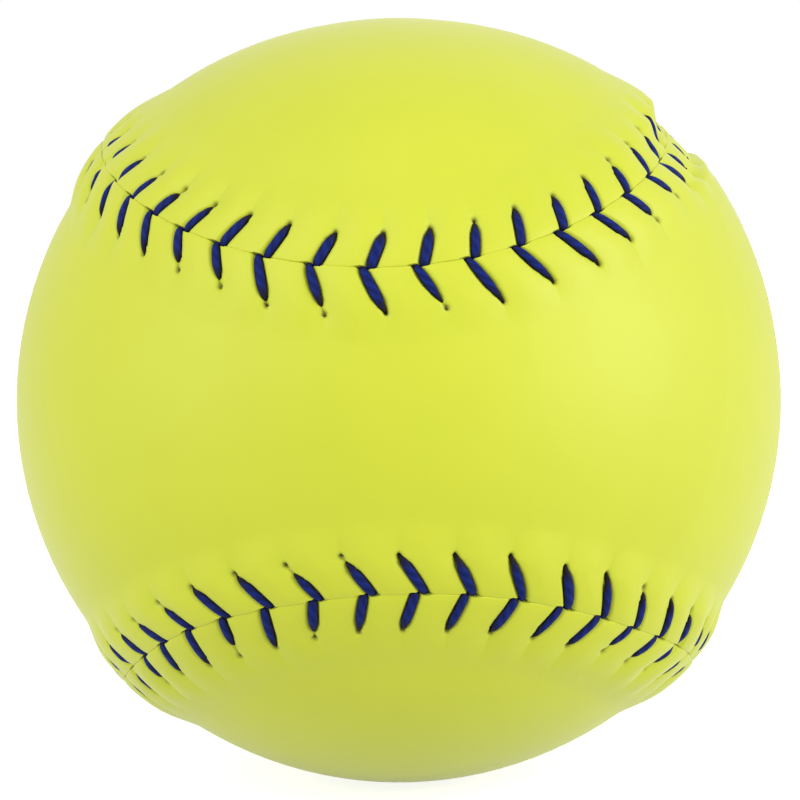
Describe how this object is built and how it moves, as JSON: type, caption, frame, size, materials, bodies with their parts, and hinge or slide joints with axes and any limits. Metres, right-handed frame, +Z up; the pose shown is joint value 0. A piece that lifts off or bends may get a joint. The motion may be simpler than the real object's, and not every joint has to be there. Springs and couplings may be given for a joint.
{
  "type": "softball",
  "caption": "Ball with a moulded core, two figure-eight leather cover panels and a raised laced seam.",
  "frame": {"origin": "centre of the ball", "axes": "+Z up; -Y faces the waist of the front cover panel, +Y faces the waist of the rear cover panel; +X and -X pass through the lobes of the front cover panel"},
  "size_m": [0.0888, 0.0888, 0.0888],
  "materials": {
    "cover_leather": "fluorescent yellow-green synthetic leather, fine grain, satin",
    "waxed_thread": "twisted thread, dark blue, waxed",
    "core_foam": "moulded polyurethane foam with a matt skin",
    "cement": "dried latex cement, amber, satin"
  },
  "bodies": {
    "root": {"core": "core_foam", "cement_film": "cement", "front_cover_panel": "cover_leather", "rear_cover_panel": "cover_leather", "first_thread": "waxed_thread", "second_thread": "waxed_thread"}
  },
  "joints": []
}
